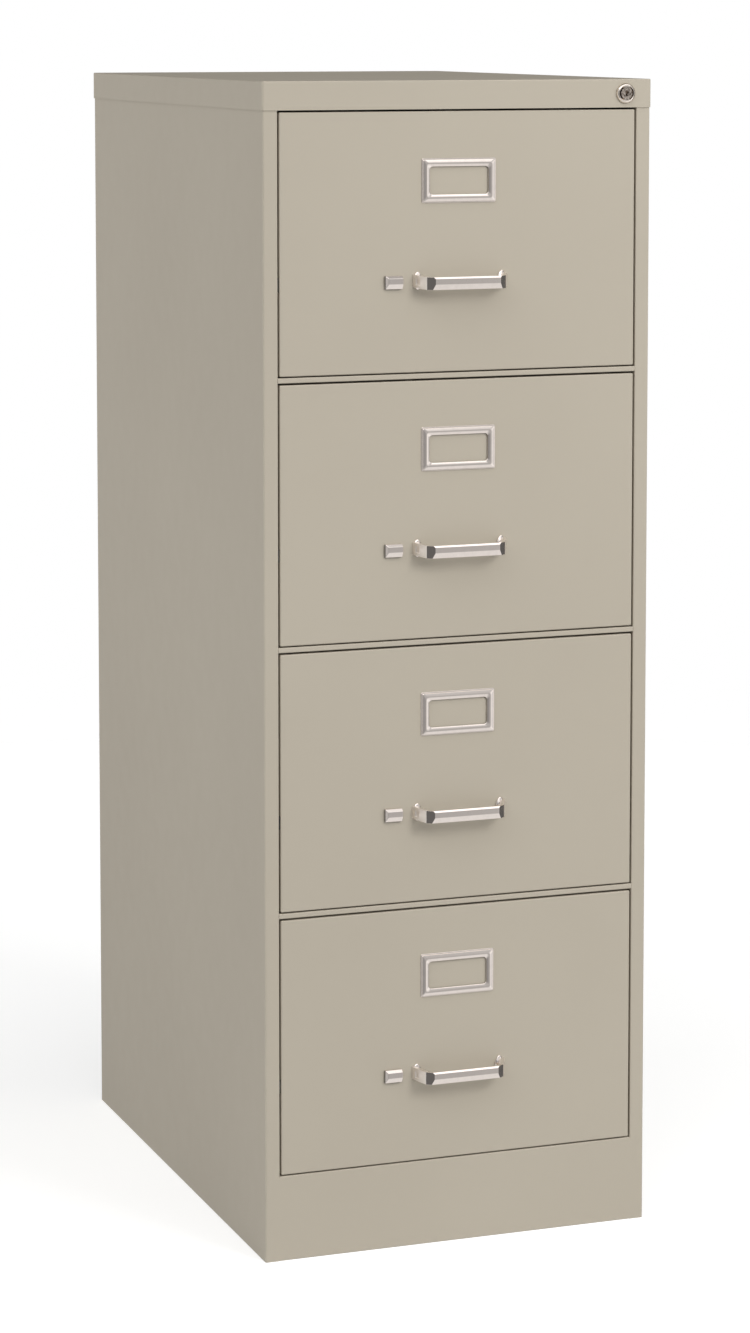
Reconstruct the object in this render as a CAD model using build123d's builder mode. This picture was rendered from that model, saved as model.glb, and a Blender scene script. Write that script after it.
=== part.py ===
from build123d import *
import os

os.makedirs("parts", exist_ok=True)

# All sizes are in millimetres. +Z is up, the drawers face -Y, and X=0 is the middle of the front.
# The origin is on the floor, in the middle of the closed cabinet with its handles.

# The closed cabinet: the top cap's outline and height, and the handles' reach from the drawer faces
cabinet_width = 463.6
cabinet_depth = 673.1
cabinet_height = 1320.8
handle_projection = 27.0
sheet = 1.0
channel_sheet = 1.2
channel_fold = 1.3

# The front, from the cap down: four equal openings with a narrow rail between each two
drawer_count = 4
cap_lip = 32.0
opening_height = 293.6
opening_half = 214.0
rail_height = 5.8
return_depth = 14.0
side_gap, top_gap, foot_gap = 2.0, 2.2, 1.5

# A drawer: hollow front, tray behind it, and the front's fittings, measured down from its opening
front_thickness = 17.0
tray_half = 194.4
tray_floor = 10.0
tray_height = 252.0
rear_space = 26.0
label_width, label_height, label_proud, label_drop, label_x = 88.5, 49.5, 3.6, 79.0, -1.5
card_width, card_height = 70.0, 31.0
handle_drop, handle_x, handle_spacing, handle_height = 191.2, 0.0, 95.0, 13.8
latch_drop, latch_x, latch_width, latch_height, latch_proud = 191.2, -79.0, 21.0, 15.0, 6.0

# The running gear of one drawer side, from the tray outwards, around rollers of this radius
roller_radius = 11.0
roller_width = 6.0
roller_height = 34.0
axle_radius, axle_play = 3.0, 0.05
roller_chamfer = 0.8
running_gap = 0.3
disc_clearance = 0.8
bar_thickness = 2.0
bar_clearance = 0.6
bar_length = 560.0
bar_set_back = 2.0
axle_inset = 14.0
channel_front = 40.0

# The lock, in the cap's lip, and its bar, which drops to hold all four drawers
lock_x = 200.0
lock_ring_radius = 11.4
lock_barrel_radius = 9.5
lock_plug_radius = 7.0
lock_proud = 4.0
crank_length = 8.0

# Places worked out from these
overall_depth = cabinet_depth + handle_projection - sheet
cap_front = handle_projection - sheet - overall_depth / 2
cap_back = cap_front + cabinet_depth
face = cap_front + sheet
back = cap_back - sheet
case_half = cabinet_width / 2 - sheet
wall_inside = case_half - sheet
under_cap = cabinet_height - 2 * sheet
opening_top = cabinet_height - cap_lip
pitch = opening_height + rail_height
floors = [opening_top - opening_height - pitch * n for n in range(drawer_count)]
base_height = floors[-1]
front_half = opening_half - side_gap
panel_back = face + front_thickness
tray_back = back - rear_space
rail_web = tray_half + channel_sheet
inner_disc = rail_web + disc_clearance
bar_inside = inner_disc + roller_width + bar_clearance
outer_disc = bar_inside + bar_thickness + bar_clearance
channel_inside = outer_disc + roller_width + disc_clearance
channel_outside = channel_inside + channel_sheet
bar_front = face + channel_front + bar_set_back
bar_back = bar_front + bar_length
lock_z = cabinet_height - cap_lip / 2
hole_play = 0.1
weld_gap = 0.05


def folded(corners, thickness, radius, side=Side.LEFT):
    """The section of a sheet folded along the corners, its thickness to one side of them."""
    with BuildSketch() as section:
        with BuildLine():
            FilletPolyline(*corners, radius=radius)
            offset(amount=thickness, side=side)
        make_face()
    return section.sketch


def write(name, part):
    """Label a finished piece with its node's name and write its file."""
    part.label = name
    export_step(part, f"parts/{name}.step")


def facing(y):
    """The upright plane at this Y, with X across and Z up. What grows from it grows to the front."""
    return Plane.XZ.offset(-y)


# Side panels: one sheet each, folded round the front into the stile and in again at the back
stile_fold = 1.1
corner_fold = 2.1
rear_flange = 14.0
strike_set_back, strike_depth, strike_play = 4.0, 4.0, 1.0
for name, hand, inner in (("left", -1, Side.RIGHT), ("right", 1, Side.LEFT)):
    with BuildPart() as side_panel:
        with BuildSketch():
            add(
                folded(
                    [
                        (hand * opening_half, face + return_depth),
                        (hand * opening_half, face),
                        (hand * case_half, face),
                        (hand * case_half, back - sheet),
                        (hand * (case_half - rear_flange), back - sheet),
                    ],
                    sheet,
                    [stile_fold, corner_fold, corner_fold],
                    inner,
                )
            )
        extrude(amount=under_cap)
        if name == "left":
            strike_y = face + strike_set_back
            for floor in floors:
                with Locations((-opening_half, strike_y, floor + opening_height - latch_drop)):
                    Box(4 * sheet, strike_depth, latch_height + 2 * strike_play, mode=Mode.SUBTRACT)
    write(f"{name}_side_panel", side_panel.part)

# Back panel: a flat sheet over the rear flanges
with BuildPart() as back_panel:
    with BuildSketch():
        with Locations((0, back - sheet / 2)):
            Rectangle(2 * (case_half - corner_fold), sheet)
    extrude(amount=under_cap)
write("back_panel", back_panel.part)

# Top cap: a shallow pan turned upside down over the case, with a hole for the lock in its lip
cap_corner = 3.0
cap_edge = 1.4
with BuildPart() as top_cap:
    with Locations((0, (cap_front + cap_back) / 2, cabinet_height - cap_lip / 2)):
        Box(cabinet_width, cabinet_depth, cap_lip)
    fillet(top_cap.edges().filter_by(Axis.Z), cap_corner)
    fillet(top_cap.edges().group_by(Axis.Z)[-1], cap_edge)
    offset(amount=-sheet, openings=top_cap.faces().sort_by(Axis.Z)[0])
    with BuildSketch(facing(face + sheet)):
        with Locations((lock_x, lock_z)):
            Circle(lock_barrel_radius + hole_play)
    extrude(amount=3 * sheet, mode=Mode.SUBTRACT)
write("top_cap", top_cap.part)

# Base front: a channel between the stiles, from the floor up to the lowest opening
with BuildPart() as base_front:
    with BuildSketch(Plane.YZ.offset(-opening_half)):
        add(
            folded(
                [
                    (face + return_depth, base_height),
                    (face, base_height),
                    (face, 0),
                    (face + return_depth, 0),
                ],
                sheet,
                stile_fold,
            )
        )
    extrude(amount=2 * opening_half)
write("base_front", base_front.part)

# Base rear rail: a channel against the back panel, which ties the sides together at the floor
rear_rail_height = 60.0
rear_rail_half = case_half - rear_flange - 1
with BuildPart() as base_rear_rail:
    with BuildSketch(Plane.YZ.offset(-rear_rail_half)):
        add(
            folded(
                [
                    (back - sheet - return_depth, 0),
                    (back - sheet, 0),
                    (back - sheet, rear_rail_height),
                    (back - sheet - return_depth, rear_rail_height),
                ],
                sheet,
                stile_fold,
            )
        )
    extrude(amount=2 * rear_rail_half)
write("base_rear_rail", base_rear_rail.part)

# Cross rails: a narrow channel between each two openings, and a wider one behind the cap's lip
with BuildPart() as cross_rails:
    for foot in [floor + opening_height for floor in floors]:
        top = foot + rail_height if foot < opening_top - 1 else under_cap
        with BuildSketch(Plane.YZ.offset(-opening_half)):
            add(
                folded(
                    [
                        (face + return_depth, top),
                        (face, top),
                        (face, foot),
                        (face + return_depth, foot),
                    ],
                    sheet,
                    stile_fold,
                )
            )
        extrude(amount=2 * opening_half)
    with BuildSketch(facing(face + 2 * sheet)):
        with Locations((lock_x, lock_z)):
            Circle(lock_barrel_radius + hole_play)
    extrude(amount=2 * sheet, mode=Mode.SUBTRACT)
write("cross_rails", cross_rails.part)

# Uprights: a channel near each corner, folded against the side panel, that carries the slides
upright_width = 30.0
upright_foot = 24.0
upright_head = under_cap - 4
front_upright = face + return_depth + 2
rear_upright = back - sheet - return_depth - 8 - upright_width
with BuildPart() as uprights:
    for hand, inner in ((-1, Side.LEFT), (1, Side.RIGHT)):
        for start in (front_upright, rear_upright):
            with BuildSketch(Plane.XY.offset(upright_foot)):
                add(
                    folded(
                        [
                            (hand * wall_inside, start),
                            (hand * channel_outside, start),
                            (hand * channel_outside, start + upright_width),
                            (hand * wall_inside, start + upright_width),
                        ],
                        channel_sheet,
                        channel_fold,
                        inner,
                    )
                )
            extrude(amount=upright_head - upright_foot)
write("uprights", uprights.part)

# Corner gussets: a plate in each bottom corner under the upright, drilled for a glide
gusset_size = 56.0
gusset_cut = 26.0
gusset_sheet = 2.0
glide_inset = 24.0
stem_radius = 4.0
gusset_front = front_upright - 1
gusset_back = back - 2 * sheet - rear_flange
glide_x = wall_inside - glide_inset
glide_ys = (gusset_front + glide_inset, gusset_back - glide_inset)
with BuildPart() as corner_gussets:
    for hand in (-1, 1):
        for edge, step in ((gusset_front, 1), (gusset_back, -1)):
            with BuildSketch(Plane.XY.offset(upright_foot)):
                with BuildLine():
                    Polyline(
                        (hand * wall_inside, edge),
                        (hand * (wall_inside - gusset_size), edge),
                        (hand * (wall_inside - gusset_size), edge + step * (gusset_size - gusset_cut)),
                        (hand * (wall_inside - gusset_size + gusset_cut), edge + step * gusset_size),
                        (hand * wall_inside, edge + step * gusset_size),
                        close=True,
                    )
                make_face()
            extrude(amount=-gusset_sheet)
    with Locations([(hand * glide_x, y, upright_foot) for hand in (-1, 1) for y in glide_ys]):
        Hole(stem_radius + hole_play, depth=gusset_sheet)
write("corner_gussets", corner_gussets.part)

# Levelling glides: a foot disc, a stem through the gusset and a nut under it, all screwed right up
foot_radius = 13.0
foot_thickness = 5.0
stem_top = upright_foot + 14.0
nut_radius = 7.5
nut_thickness = 6.5
with BuildPart() as levelling_glides:
    for hand in (-1, 1):
        for y in glide_ys:
            with BuildSketch(Plane((hand * glide_x, y, 0))):
                Circle(foot_radius)
            extrude(amount=foot_thickness)
            with BuildSketch(Plane((hand * glide_x, y, foot_thickness))):
                Circle(stem_radius)
            extrude(amount=stem_top - foot_thickness)
            with BuildSketch(Plane((hand * glide_x, y, upright_foot - gusset_sheet - nut_thickness))):
                RegularPolygon(nut_radius, 6)
            extrude(amount=nut_thickness)
write("levelling_glides", levelling_glides.part)

# Slide channels: on each side a channel per drawer, open to the middle, on the two uprights. Its
# floor carries the cradle's rear roller, and a tongue at its front end carries the cradle's bar.
channel_start = face + channel_front
channel_end = back - sheet - 12
roller_zs = [floor + roller_height for floor in floors]
channel_rise = roller_radius + 3 * running_gap
channel_drop = roller_radius + running_gap
channel_lip = outer_disc + 0.2
tongue_length = 12.0
tongue_inside = bar_inside - 0.2
tongue_outside = channel_lip + 0.2
for name, hand, inner in (("left", -1, Side.RIGHT), ("right", 1, Side.LEFT)):
    with BuildPart() as case_channels:
        for z in roller_zs:
            with BuildSketch(facing(channel_end)):
                add(
                    folded(
                        [
                            (hand * channel_lip, z - channel_drop - channel_sheet),
                            (hand * channel_outside, z - channel_drop - channel_sheet),
                            (hand * channel_outside, z + channel_rise + channel_sheet),
                            (hand * channel_lip, z + channel_rise + channel_sheet),
                        ],
                        channel_sheet,
                        channel_fold,
                        inner,
                    )
                )
            extrude(amount=channel_end - channel_start)
            tongue_x = hand * (tongue_inside + tongue_outside) / 2
            tongue_z = z - channel_drop - channel_sheet / 2
            with Locations((tongue_x, channel_start + tongue_length / 2, tongue_z)):
                Box(tongue_outside - tongue_inside, tongue_length, channel_sheet)
    write(f"{name}_case_channels", case_channels.part)

# Lock: a ringed barrel through the cap's lip, with a keyed plug that turns in it
barrel_back = face + front_thickness - 1
ring_step = 1.2
ring_front_radius = 8.9
ring_front = cap_front - lock_proud
bore_radius = lock_plug_radius + 0.05
bore_chamfer = 0.6
with BuildPart() as lock_housing:
    with BuildSketch(Plane.XY):
        with BuildLine():
            Polyline(
                (bore_radius, ring_front + bore_chamfer),
                (bore_radius + bore_chamfer, ring_front),
                (ring_front_radius, ring_front),
                (lock_ring_radius, cap_front - ring_step),
                (lock_ring_radius, cap_front),
                (lock_barrel_radius, cap_front),
                (lock_barrel_radius, barrel_back),
                (bore_radius, barrel_back),
                close=True,
            )
        make_face()
    revolve(axis=Axis.Y)
write("lock_housing", lock_housing.part.moved(Location((lock_x, 0, lock_z))))

# Lock plug: the turning cylinder with its keyhole, and a tail for the crank
plug_front = ring_front + 0.4
plug_chamfer = 0.5
keyhole_radius = 1.6
keyhole_length = 4.2
keyhole_rise = 1.0
keyhole_depth = 8.0
keyhole_slot = 1.8
tail_radius = 4.0
crank_y = barrel_back + 0.5
crank_thickness = 2.0
with BuildPart() as lock_plug:
    with BuildSketch(facing(barrel_back)):
        with Locations((lock_x, lock_z)):
            Circle(lock_plug_radius)
    extrude(amount=barrel_back - plug_front)
    chamfer(lock_plug.edges().group_by(Axis.Y)[0], plug_chamfer)
    with BuildSketch(facing(barrel_back)):
        with Locations((lock_x, lock_z)):
            Circle(tail_radius)
    extrude(amount=-(crank_y + crank_thickness - barrel_back))
    with BuildSketch(facing(plug_front + keyhole_depth)):
        with Locations((lock_x, lock_z + keyhole_rise)):
            Circle(keyhole_radius)
            with Locations((0, -keyhole_length / 2)):
                Rectangle(keyhole_slot, keyhole_length)
    extrude(amount=keyhole_depth + sheet, mode=Mode.SUBTRACT)
write("lock_plug", lock_plug.part)

# Lock crank: an arm pressed on the plug's tail, with a pin that carries the bar down as it turns
arm_width = 9.0
pin_radius = 2.0
pin_length = 3.0
crank_back = crank_y + crank_thickness
with BuildPart() as lock_crank:
    with BuildSketch(facing(crank_back)):
        with Locations((lock_x + crank_length / 2, lock_z)):
            SlotCenterToCenter(crank_length, arm_width)
        with Locations((lock_x, lock_z)):
            Circle(tail_radius, mode=Mode.SUBTRACT)
    extrude(amount=crank_thickness)
    with BuildSketch(facing(crank_back)):
        with Locations((lock_x + crank_length, lock_z)):
            Circle(pin_radius)
    extrude(amount=-pin_length)
write("lock_crank", lock_crank.part)

# Lock bar: a strip inside the right upright. Welded to it are a slotted head for the crank's pin
# and a lug above each drawer's hook. It drops as the plug turns, and the lugs then stand before
# the hooks.
strip_front = face + front_thickness + 3
strip_width = 12.0
strip_outside = channel_outside - 0.1
strip_inside = strip_outside - channel_sheet
weld_x = strip_inside - weld_gap
lug_front = face + 24
lug_depth = 4.0
lug_foot = 258.0
lug_height = 10.0
lug_inside = 205.0
bar_head_front = crank_back + 0.5
bar_head_left = lock_x - 6
bar_head_foot = lock_z - 14
bar_head_top = under_cap - 8
strip_foot = floors[-1] + lug_foot - 20
pin_play = 2.2
pin_slot_length = crank_length + 2 * pin_radius + 2
pin_slot_height = 2 * pin_radius + pin_play + 0.6
with BuildPart() as lock_bar:
    with BuildSketch(Plane.XY.offset(strip_foot)):
        with Locations(((strip_inside + strip_outside) / 2, strip_front + strip_width / 2)):
            Rectangle(channel_sheet, strip_width)
    extrude(amount=bar_head_top - strip_foot)
    with BuildSketch(facing(bar_head_front + channel_sheet)):
        with BuildLine():
            Polyline(
                (bar_head_left, bar_head_foot),
                (weld_x, bar_head_foot),
                (weld_x, bar_head_top),
                (bar_head_left, bar_head_top),
                close=True,
            )
        make_face()
        with Locations((lock_x + crank_length / 2, lock_z - pin_play / 2)):
            Rectangle(pin_slot_length, pin_slot_height, mode=Mode.SUBTRACT)
    extrude(amount=channel_sheet)
    for floor in floors:
        with Locations(
            (
                (lug_inside + weld_x) / 2,
                lug_front + lug_depth / 2,
                floor + lug_foot + lug_height / 2,
            )
        ):
            Box(weld_x - lug_inside, lug_depth, lug_height)
write("lock_bar", lock_bar.part)

# The four drawers are alike. Number 1 is the top one.
front_edge = 1.4
front_corner = 1.6
window_width = latch_width - 5
window_height = 9.0
latch_bar_y = face + 3
latch_bar_thickness = 1.5
latch_tip = -opening_half + 0.5
latch_bevel = 2.4
lug_length = 10.5
seat_x = latch_x + 13
bracket_x = seat_x + 28
bracket_depth, bracket_height = 12.0, 10.0
hook_inside, hook_outside = lug_inside + 0.5, front_half - 1
hook_foot = 244.0
hook_top = 256.0
tab_gap = 2.0
screw_radius = 2.0
screw_play = 0.05
screw_head_radius, screw_head_thickness = 4.0, 2.2
hem_width, hem_drop = 6.0, 5.0
track_width, track_height = 30.0, 5.0
track_end_gap = 20.0
rail_start = panel_back + 1
rail_end = tray_back - 7
tie_width, tie_rise = 18.0, 4.0
follower_y = tray_back - 70
follower_height = 200.0
follower_half = tray_half - sheet - 4
follower_wing = 14.0
foot_width, foot_length, foot_height = 54.0, 60.0, 14.0
finger_slot_drop, finger_slot_width, finger_slot_height = 34.0, 96.0, 30.0
foot_half, foot_rise = 53.6, 3.0
corner_half, corner_rise = 45.0, 19.2
corner_bend = 3.0
grip_half = 38.2
foot_block = 9.0
grip_front, grip_back, grip_crease, grip_edge = 2.6, 2.2, 1.8, 0.5
label_bevel = 1.5
card_pocket, card_cover = 1.2, 4.0
neck_width, neck_depth = 8.0, 5.0
spring_y = face + 9.5
spring_fold, spring_swing = 7.0, 3.2
spring_width, spring_sheet = 8.0, 0.4
spring_bend = 1.2

for number, floor in enumerate(floors, start=1):
    latch_z = floor + opening_height - latch_drop
    handle_z = floor + opening_height - handle_drop
    label_z = floor + opening_height - label_drop
    roller_z = floor + roller_height
    front_foot = floor + foot_gap
    front_height = opening_height - top_gap - foot_gap
    front_middle = front_foot + front_height / 2

    # Drawer front: a shallow pan, its rim to the back, closed by an inner panel. A hook for the
    # lock, a plate and a tab, is welded to the panel. The pan has a window for the latch, two
    # screw holes, and a bracket for the latch's spring.
    with BuildPart() as drawer_front:
        with Locations((0, face + (front_thickness - sheet) / 2, front_middle)):
            Box(2 * front_half, front_thickness - sheet, front_height)
        fillet(drawer_front.edges().filter_by(Axis.Y), front_corner)
        fillet(drawer_front.edges().group_by(Axis.Y)[0], front_edge)
        offset(amount=-sheet, openings=drawer_front.faces().sort_by(Axis.Y)[-1])
        with Locations((latch_x, face, latch_z)):
            Box(window_width, 4 * sheet, window_height, mode=Mode.SUBTRACT)
        with Locations((-front_half, latch_bar_y + latch_bar_thickness / 2, latch_z)):
            Box(4 * sheet, latch_bar_thickness + 1, latch_height + 1, mode=Mode.SUBTRACT)
        with BuildSketch(facing(face + 2 * sheet)):
            with Locations((handle_x, handle_z)):
                with GridLocations(handle_spacing, 0, 2, 1):
                    Circle(screw_radius)
        extrude(amount=3 * sheet, mode=Mode.SUBTRACT)
        with Locations((bracket_x + sheet / 2, face + sheet + bracket_depth / 2, latch_z)):
            Box(sheet, bracket_depth, bracket_height)
        with Locations((0, panel_back - sheet / 2, front_middle)):
            Box(2 * front_half - 4, sheet, front_height - 4)
        hook_x = (hook_inside + hook_outside) / 2
        hook_width = hook_outside - hook_inside
        tab_y = lug_front + lug_depth + tab_gap
        plate_y = (panel_back + tab_y) / 2
        with Locations((hook_x, plate_y, floor + hook_foot + sheet)):
            Box(hook_width, tab_y - panel_back - 2 * weld_gap, 2 * sheet)
        with Locations((hook_x, tab_y + sheet, floor + (hook_foot + hook_top) / 2)):
            Box(hook_width, 2 * sheet, hook_top - hook_foot)
    write(f"drawer_front_{number}", drawer_front.part)

    # Drawer tray: floor, sides and back of one folded sheet, hemmed along the top, with a track
    # down the middle of the floor for the follower
    with BuildPart() as drawer_tray:
        tray_length = tray_back - panel_back
        tray_middle = (tray_back + panel_back) / 2
        with Locations((0, tray_middle, floor + tray_floor + tray_height / 2)):
            Box(2 * tray_half, tray_length, tray_height)
        offset(
            amount=-sheet,
            openings=[
                drawer_tray.faces().sort_by(Axis.Z)[-1],
                drawer_tray.faces().sort_by(Axis.Y)[0],
            ],
        )
        with Locations((0, tray_middle, floor + tray_floor + sheet + track_height / 2)):
            Box(track_width, tray_length - 2 * track_end_gap, track_height)
        tray_top = floor + tray_floor + tray_height
        hem_middle = tray_half + (hem_width - sheet) / 2
        hem_outside = tray_half + hem_width
        for hand in (-1, 1):
            with Locations((hand * hem_middle, tray_middle, tray_top - sheet / 2)):
                Box(hem_width + sheet, tray_length, sheet)
            with Locations((hand * (hem_outside - sheet / 2), tray_middle, tray_top - hem_drop / 2)):
                Box(sheet, tray_length, hem_drop)
    write(f"drawer_tray_{number}", drawer_tray.part)

    # Drawer rails: a channel on each side of the tray, open outwards, that rides on the rollers
    with BuildPart() as drawer_rails:
        rail_foot = roller_z - channel_rise - channel_sheet
        rail_head = roller_z + channel_drop + channel_sheet
        rail_lip = bar_inside - bar_clearance
        for hand, inner in ((-1, Side.LEFT), (1, Side.RIGHT)):
            with BuildSketch(facing(rail_end)):
                add(
                    folded(
                        [
                            (hand * rail_lip, rail_foot),
                            (hand * tray_half, rail_foot),
                            (hand * tray_half, rail_head),
                            (hand * rail_lip, rail_head),
                        ],
                        channel_sheet,
                        channel_fold,
                        inner,
                    )
                )
            extrude(amount=rail_end - rail_start)
    write(f"drawer_rails_{number}", drawer_rails.part)

    # Cradle: a bar on each side between the rail and the channel, tied under the tray at the back
    with BuildPart() as cradle:
        tie_foot = floor + tie_rise
        for hand in (-1, 1):
            bar_x = hand * (bar_inside + bar_thickness / 2)
            with Locations((bar_x, (bar_front + bar_back) / 2, roller_z)):
                Box(bar_thickness, bar_length, 2 * roller_radius)
            with Locations((bar_x, bar_back - tie_width / 2, (tie_foot + roller_z) / 2)):
                Box(bar_thickness, tie_width, roller_z - tie_foot)
        with Locations((0, bar_back - tie_width / 2, tie_foot + bar_thickness / 2)):
            Box(2 * (bar_inside + bar_thickness), tie_width, bar_thickness)
        with BuildSketch(Plane.YZ.offset(-channel_outside)):
            with Locations((bar_front + axle_inset, roller_z), (bar_back - axle_inset, roller_z)):
                Circle(axle_radius + axle_play)
        extrude(amount=2 * channel_outside, mode=Mode.SUBTRACT)
    write(f"cradle_{number}", cradle.part)

    # Rollers: a disc each side of the cradle's bar on one hub, which turns in the bar
    for place, roller_y in (("front", bar_front + axle_inset), ("rear", bar_back - axle_inset)):
        with BuildPart() as rollers:
            with BuildSketch(Plane.XY):
                with BuildLine():
                    Polyline(
                        (inner_disc, 0),
                        (inner_disc, roller_radius - roller_chamfer),
                        (inner_disc + roller_chamfer, roller_radius),
                        (inner_disc + roller_width, roller_radius),
                        (inner_disc + roller_width, axle_radius),
                        (outer_disc, axle_radius),
                        (outer_disc, roller_radius),
                        (outer_disc + roller_width - roller_chamfer, roller_radius),
                        (outer_disc + roller_width, roller_radius - roller_chamfer),
                        (outer_disc + roller_width, 0),
                        close=True,
                    )
                make_face()
            revolve(axis=Axis.X)
            mirror(about=Plane.YZ)
        write(f"rollers_{place}_{number}", rollers.part.moved(Location((0, roller_y, roller_z))))

    # Handle: a creased bar on two arms that spread towards the front, and the screws in its feet
    with BuildPart() as handle:
        with BuildLine() as spine:
            FilletPolyline(
                (handle_x - foot_half, face),
                (handle_x - foot_half, face - foot_rise),
                (handle_x - corner_half, face - corner_rise),
                (handle_x - grip_half, face - handle_projection + grip_front),
                (handle_x + grip_half, face - handle_projection + grip_front),
                (handle_x + corner_half, face - corner_rise),
                (handle_x + foot_half, face - foot_rise),
                (handle_x + foot_half, face),
                radius=corner_bend,
            )
        start = spine.line @ 0
        with BuildSketch(
            Plane(origin=(start.X, start.Y, handle_z), x_dir=(0, 0, 1), z_dir=spine.line % 0)
        ) as bar_section:
            with BuildLine():
                Polyline(
                    (-handle_height / 2, -grip_back),
                    (-handle_height / 2, grip_front - grip_crease),
                    (0, grip_front),
                    (handle_height / 2, grip_front - grip_crease),
                    (handle_height / 2, -grip_back),
                    close=True,
                )
            make_face()
            fillet(bar_section.vertices(), grip_edge)
        sweep(path=spine.line.moved(Location((0, 0, handle_z))))
        with Locations((handle_x, face - foot_block / 2, handle_z)):
            with GridLocations(handle_spacing, 1, 2, 1):
                Box(foot_block, foot_block, handle_height - 3)
        with BuildSketch(facing(face + sheet)):
            with Locations((handle_x, handle_z)):
                with GridLocations(handle_spacing, 0, 2, 1):
                    Circle(screw_radius)
        extrude(amount=foot_block - 1, mode=Mode.SUBTRACT)
        for hand in (-1, 1):
            with BuildSketch(facing(face + sheet)):
                with Locations((handle_x + hand * handle_spacing / 2, handle_z)):
                    Circle(screw_radius - screw_play)
            extrude(amount=foot_block - 2)
            with BuildSketch(facing(face + sheet + screw_head_thickness)):
                with Locations((handle_x + hand * handle_spacing / 2, handle_z)):
                    Circle(screw_head_radius)
            extrude(amount=screw_head_thickness)
    write(f"handle_{number}", handle.part)

    # Label holder: a bevelled frame with a shallow pocket behind its rim for a card
    with BuildPart() as label_holder:
        with Locations((label_x, face - label_proud / 2, label_z)):
            Box(label_width, label_proud, label_height)
        fillet(label_holder.edges().filter_by(Axis.Y), front_corner)
        chamfer(label_holder.edges().group_by(Axis.Y)[0], label_bevel)
        with Locations((label_x, face - label_proud / 2, label_z)):
            Box(card_width, label_proud, card_height, mode=Mode.SUBTRACT)
        with Locations((label_x, face - card_pocket / 2, label_z)):
            Box(
                card_width + 2 * card_cover,
                card_pocket,
                card_height + 2 * card_cover,
                mode=Mode.SUBTRACT,
            )
    write(f"label_holder_{number}", label_holder.part)

    # Thumb latch: a bevelled pad on a neck through the window, and a flat bolt behind the front
    # that reaches to the left stile, with a turned-in lug for the spring
    with BuildPart() as thumb_latch:
        with Locations((latch_x, face - (latch_proud + running_gap) / 2, latch_z)):
            Box(latch_width, latch_proud - running_gap, latch_height)
        chamfer(thumb_latch.edges().group_by(Axis.Y)[0], latch_bevel)
        neck_x = latch_x + (neck_width - window_width + 1) / 2
        with Locations((neck_x, latch_bar_y - neck_depth / 2, latch_z)):
            Box(neck_width, neck_depth, window_height - 1)
        with Locations(((latch_tip + seat_x) / 2, latch_bar_y + latch_bar_thickness / 2, latch_z)):
            Box(seat_x - latch_tip, latch_bar_thickness, latch_height)
        chamfer(thumb_latch.edges().filter_by(Axis.Z).sort_by(Axis.X)[0:1], sheet)
        with Locations((seat_x - sheet / 2, latch_bar_y + lug_length / 2, latch_z)):
            Box(sheet, lug_length, bracket_height)
    write(f"thumb_latch_{number}", thumb_latch.part)

    # Latch spring: a flat strip folded to and fro between the latch's lug and the front's bracket
    with BuildPart() as latch_spring:
        with BuildSketch(Plane.XY.offset(latch_z - spring_width / 2)):
            add(
                folded(
                    [
                        (seat_x, spring_y + spring_swing),
                        (seat_x + spring_fold, spring_y - spring_swing),
                        (seat_x + 2 * spring_fold, spring_y + spring_swing),
                        (seat_x + 3 * spring_fold, spring_y - spring_swing),
                        (bracket_x, spring_y + spring_swing),
                    ],
                    spring_sheet,
                    spring_bend,
                )
            )
        extrude(amount=spring_width)
        for end_x in (seat_x - sheet, bracket_x + sheet):
            with Locations((end_x, spring_y, latch_z)):
                Box(2 * sheet, front_thickness, front_thickness, mode=Mode.SUBTRACT)
    write(f"latch_spring_{number}", latch_spring.part)

    # Follower: an upright plate that slides along the tray on a foot astride the track
    with BuildPart() as follower:
        plate_foot = floor + tray_floor + sheet + 0.5
        with BuildSketch(Plane.XY.offset(plate_foot)):
            add(
                folded(
                    [
                        (-follower_half, follower_y + follower_wing),
                        (-follower_half, follower_y),
                        (follower_half, follower_y),
                        (follower_half, follower_y + follower_wing),
                    ],
                    channel_sheet,
                    channel_fold,
                )
            )
        extrude(amount=follower_height)
        with Locations((0, follower_y + foot_length / 2, plate_foot + foot_height / 2)):
            Box(foot_width, foot_length, foot_height)
        with Locations((0, follower_y + foot_length / 2, plate_foot + track_height / 2)):
            Box(track_width + 1, foot_length, track_height, mode=Mode.SUBTRACT)
        with BuildSketch(facing(follower_y + 2 * channel_sheet)):
            with Locations((0, plate_foot + follower_height - finger_slot_drop)):
                SlotOverall(finger_slot_width, finger_slot_height)
        extrude(amount=3 * channel_sheet, mode=Mode.SUBTRACT)
    write(f"follower_{number}", follower.part)
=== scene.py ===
import math

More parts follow.
